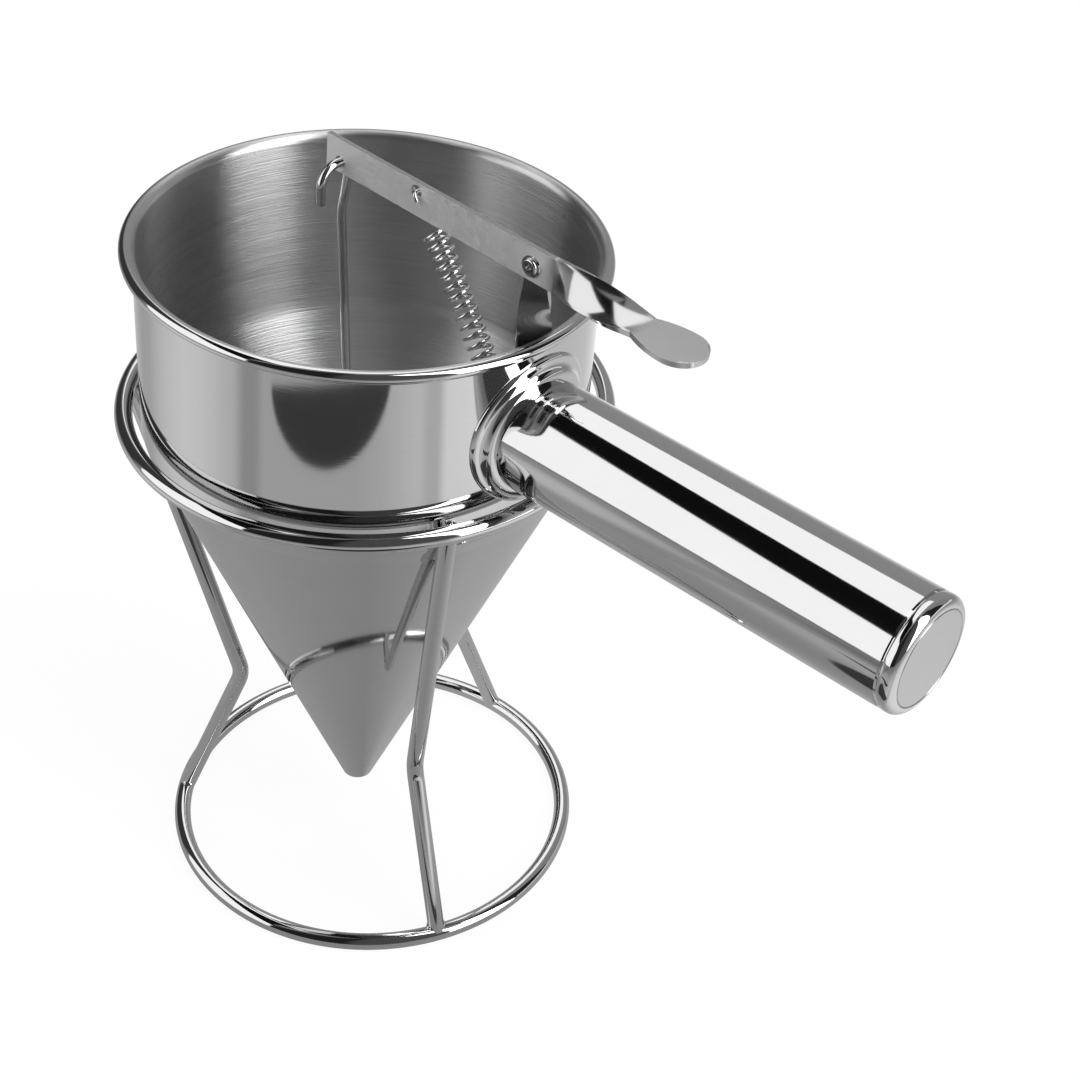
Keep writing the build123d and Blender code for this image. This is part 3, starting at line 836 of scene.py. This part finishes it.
def makeSpring(size):
    hole = Vector(size["hole"])
    staple = Vector(size["staple"])
    line = (staple - hole).normalized()
    length = (staple - hole).length
    side = (funnelPlace.to_3x3() @ Vector((0, 1, 0))).normalized()
    side = (side - line * side.dot(line)).normalized()
    lift = line.cross(side)
    place = Matrix((side, lift, line)).transposed().to_4x4()
    place.translation = hole * mm
    coil = size["coil"]
    spring = startPoint("returnSpring", (coil, 0, size["coilStart"]))
    bpy.ops.object.mode_set(mode="OBJECT")
    applyModifier(spring, "SCREW", {
        "axis": "Z", "steps": size["steps"], "render_steps": size["steps"], "angle": 2 * math.pi,
        "iterations": size["turns"], "screw_offset": size["pitch"] * mm,
    })
    # upper end: up behind the strip, through the hole, and a short tail in front of it
    rear = size["rear"]
    top = [
        (coil, 0, size["coilStart"]), (rear, 0, size["lead"]), (rear, 0, 0),
        (-rear, 0, 0), (-rear, 0, size["tail"]),
    ]
    coilEnd = size["coilStart"] + size["pitch"] * size["turns"]
    reach = size["hookReach"]
    foot = [
        (coil, 0, coilEnd), (size["footAside"], 0, coilEnd + size["footLead"]),
        (0, reach, length - size["hookShort"]), (0, reach, length + reach),
        (0, -reach, length + reach), (0, -reach, length - size["hookTail"]),
    ]
    bpy.ops.object.mode_set(mode="EDIT")
    for path in (top, foot):
        pickNear(spring, path[0])
        drawOn(path)
    for corner in top[1:4] + foot[2:5]:
        roundCorner(spring, corner, size["bend"], 5)
    closeMesh()
    bpy.ops.object.mode_set(mode="OBJECT")
    spring = wireFromPath(spring, size["wire"], 4)
    spring.data.transform(place)
    return spring


spring = makeSpring(springSize)
finishPiece(spring, "return_spring", ["springSteel"])
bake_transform(spring)
print("spring made,", len(spring.data.polygons), "faces")


# Studio: pale floor, and a room whose walls carry soft panels and dark flags

studio = {
    "floorSize": 6000, "floorGrey": 0.8, "cameraShare": 0.9, "cameraWhite": 1.04, "glossShare": 0.95,
}
# panels of the room, by the directions of their corners: azimuth and elevation
roomPanels = {
    "backPanel": {"corners": [(157, 50), (-133, 72.5), (106, 41), (142, 31)], "radiance": 1.4},
    "leftPanel": {"corners": [(-169.5, 54.5), (-97.5, 26), (-96, -7), (-150, -4)], "radiance": 1.4},
    "darkFlag": {"corners": [(157, 50), (-133, 72.5), (-97.5, 26), (-169.5, 54.5)], "radiance": 0.006},
    "rightPanel": {"corners": [(-6, -3), (28, -3), (28, 78), (-6, 78)], "radiance": 4.6},
    "lowPanel": {"corners": [(30, -3), (74, -3), (74, 8), (30, 8)], "radiance": 1.0},
    "farPanel": {"corners": [(56, 4), (82, 4), (82, 60), (56, 60)], "radiance": 0.3},
}
# the room behind the panels, by azimuth
roomLight = {
    "round": [
        (-180, 0.05), (-160, 0.05), (-154, 0.3), (-104, 0.3), (-98, 0.02), (-60, 0.02), (-54, 0.08),
        (-8, 0.1), (28, 0.1), (30, 0.02), (58, 0.02), (84, 0.34), (145, 0.34), (155, 0.05), (180, 0.05),
    ],
    "soft": 0.012,
}
topLamp = {"place": (100, 60, 900), "wide": 900, "power": 3.0}
cameraView = {
    "place": (282.3, -269.4, 385.0), "right": (0.742, 0.6694, 0.0371), "up": (-0.4285, 0.431, 0.7942),
    "lens": 69.3, "clip": 10,
}
# what polished steel sees of the floor: its light by azimuth, and by distance
floorLight = {
    "round": [
        (-180, 0.42), (-170, 0.46), (-160, 0.61), (-150, 0.73), (-138, 0.82), (-128, 0.8), (-119, 0.72),
        (-107, 0.58), (-102, 0.35), (-96, 0.35), (-92, 0.48), (-50, 0.48), (-38, 0.54), (-30, 0.62),
        (-22, 0.7), (-17, 0.57), (-13, 0.57), (-9, 0.92), (10, 1.0), (34, 0.95), (48, 0.7), (84, 0.7),
        (112, 0.95), (140, 0.7), (180, 0.42),
    ],
    "out": [(0, 0.5), (60, 0.52), (160, 0.85), (230, 1.0), (330, 1.0), (700, 0.55), (2000, 0.4)],
    "reach": 2000,
    # close: the floor's light near the stand, painted low as the stand's painted shadow; closeFrom and
    # closeTo are where it gives way to the light further out
    "close": [
        (-180, 0.37), (-130, 0.38), (-80, 0.33), (-44, 0.31), (-10, 0.37), (30, 0.48), (90, 0.48),
        (140, 0.42), (180, 0.37),
    ],
    "closeFrom": 110, "closeTo": 215, "flagCore": 0.9, "flagSoft": 0.03,
    "flags": [
        {"azimuth": -61.5, "spread": 27.5, "near": 248, "far": 296, "dim": 0.03},
        {"azimuth": -44, "spread": 28, "near": 112, "far": 205, "dim": 0.05},
    ],
}


def wayTo(azimuth, elevation):
    turn = math.radians(azimuth)
    rise = math.radians(elevation)
    return Vector((math.cos(turn) * math.cos(rise), math.sin(turn) * math.cos(rise), math.sin(rise)))


def softStep(tap, value, low, high, start=0.0):
    # climbs softly from the start to one while the value goes from low to high
    return tap.node("ShaderNodeMapRange", {"interpolation_type": "SMOOTHSTEP"}, {
        "Value": value, "From Min": low, "From Max": high, "To Min": start, "To Max": 1.0})


def panelMask(tap, way, corners, soft):
    # one inside the panel, none outside it; each edge is a plane through the middle of the room
    points = [wayTo(*corner) for corner in corners]
    middle = sum(points, Vector())
    mask = 1.0
    for here, there in zip(points, points[1:] + points[:1]):
        edge = here.cross(there).normalized()
        if edge.dot(middle) < 0:
            edge.negate()
        sockets = {0: way, 1: edge}
        depth = tap.node("ShaderNodeVectorMath", {"operation": "DOT_PRODUCT"}, sockets, out="Value")
        mask = mask * softStep(tap, depth, -soft, soft)
    return mask


def makeTopLamp():
    # lights the floor under the object; polished steel doesn't mirror it
    lamp = bpy.data.lights.new("topLamp", "AREA")
    lamp.size = topLamp["wide"] * mm
    lamp.energy = topLamp["power"]
    holder = bpy.data.objects.new("topLamp", lamp)
    bpy.context.scene.collection.objects.link(holder)
    holder.location = Vector(topLamp["place"]) * mm
    holder.visible_camera = False
    holder.visible_glossy = False


def flagShade(tap, azimuth, distance, flag):
    # a dark card's share of the floor's light: straight at its far edge and round at its near one
    depth = (distance - flag["near"]) / (flag["far"] - flag["near"])
    aside = (azimuth - flag["azimuth"]) / flag["spread"]
    core = floorLight["flagCore"]
    soft = floorLight["flagSoft"]
    lump = aside * aside + core * (1 - depth) * (1 - depth) * (depth < 1)
    shade = softStep(tap, lump, core, 1.0, flag["dim"])
    beyond = softStep(tap, depth, 1 - soft, 1 + soft)
    return shade + beyond * (1 - shade)


def floorGlow(tap):
    # the floor's light for polished steel: painted darker close to the stand, a painted shadow of it, and
    # by direction further out
    place = tap.node("ShaderNodeTexCoord", {}, {}, out="Object")
    across, along = axesOf(tap, place)[:2]
    azimuth = tap.maths("ARCTAN2", along, across) * (180 / math.pi)
    distance = tap.maths("SQRT", across * across + along * along) / mm
    turning = rampOver(tap, azimuth, -180, 180, floorLight["round"])
    close = rampOver(tap, azimuth, -180, 180, floorLight["close"])
    fading = rampOver(tap, distance, 0, floorLight["reach"], floorLight["out"])
    share = softStep(tap, distance, floorLight["closeFrom"], floorLight["closeTo"])
    light = close + share * (turning * fading - close)
    for flag in floorLight["flags"]:
        light = light * flagShade(tap, azimuth, distance, flag)
    return light


def makeFloor():
    clearPick()
    bpy.ops.mesh.primitive_plane_add(size=studio["floorSize"] * mm, location=(0, 0, 0))
    floor = bpy.context.object
    floor.name = "floor"
    material = bpy.data.materials.new("floorWhite")
    material.use_nodes = True
    tree = material.node_tree
    tree.nodes.clear()
    tap = Tap(tree)
    seen = tap.node("ShaderNodeLightPath", {}, {}, out="Is Camera Ray")
    mirrored = tap.node("ShaderNodeLightPath", {}, {}, out="Is Glossy Ray")
    grey = studio["floorGrey"]
    lit = tap.node("ShaderNodeBsdfDiffuse", {}, {"Color": (grey, grey, grey, 1)})
    white = tap.node("ShaderNodeEmission", {}, {"Strength": studio["cameraWhite"]})
    glow = tap.node("ShaderNodeEmission", {}, {"Color": floorGlow(tap), "Strength": 1.0})
    shown = tap.node("ShaderNodeMixShader", {}, {0: mirrored * studio["glossShare"], 1: lit, 2: glow})
    both = tap.node("ShaderNodeMixShader", {}, {0: seen * studio["cameraShare"], 1: shown, 2: white})
    tap.node("ShaderNodeOutputMaterial", {}, {"Surface": both})
    floor.data.materials.append(material)


def makeWorld():
    world = bpy.data.worlds.new("studioWorld")
    bpy.context.scene.world = world
    world.use_nodes = True
    tree = world.node_tree
    tree.nodes.clear()
    tap = Tap(tree)
    way = tap.node("ShaderNodeTexCoord", {}, {}, out="Generated")
    across, along = axesOf(tap, way)[:2]
    azimuth = tap.maths("ARCTAN2", along, across) * (180 / math.pi)
    room = rampOver(tap, azimuth, -180, 180, roomLight["round"])
    for panel in roomPanels.values():
        mask = panelMask(tap, way, panel["corners"], roomLight["soft"])
        room = room + mask * (panel["radiance"] - room)
    seen = tap.node("ShaderNodeLightPath", {}, {}, out="Is Camera Ray")
    sockets = {"Factor": seen, 6: room, 7: (1, 1, 1, 1)}
    colour = tap.node("ShaderNodeMix", {"data_type": "RGBA"}, sockets, out=2)
    light = tap.node("ShaderNodeBackground", {}, {"Color": colour, "Strength": 1.0})
    tap.node("ShaderNodeOutputWorld", {}, {"Surface": light})


def makeCamera(view):
    right = Vector(view["right"]).normalized()
    up = Vector(view["up"])
    up = (up - right * up.dot(right)).normalized()
    back = right.cross(up)
    data = bpy.data.cameras.new("photoCamera")
    data.lens = view["lens"]
    data.clip_start = view["clip"] * mm
    camera = bpy.data.objects.new("photoCamera", data)
    bpy.context.scene.collection.objects.link(camera)
    turn = Matrix((right, up, back)).transposed()
    camera.rotation_euler = turn.to_euler()
    camera.location = Vector(view["place"]) * mm
    bpy.context.scene.camera = camera


makeTopLamp()
makeFloor()
makeWorld()
makeCamera(cameraView)
bpy.context.scene.view_settings.view_transform = "Standard"
print("studio set")

# bring the scene up to date
bpy.context.view_layer.update()
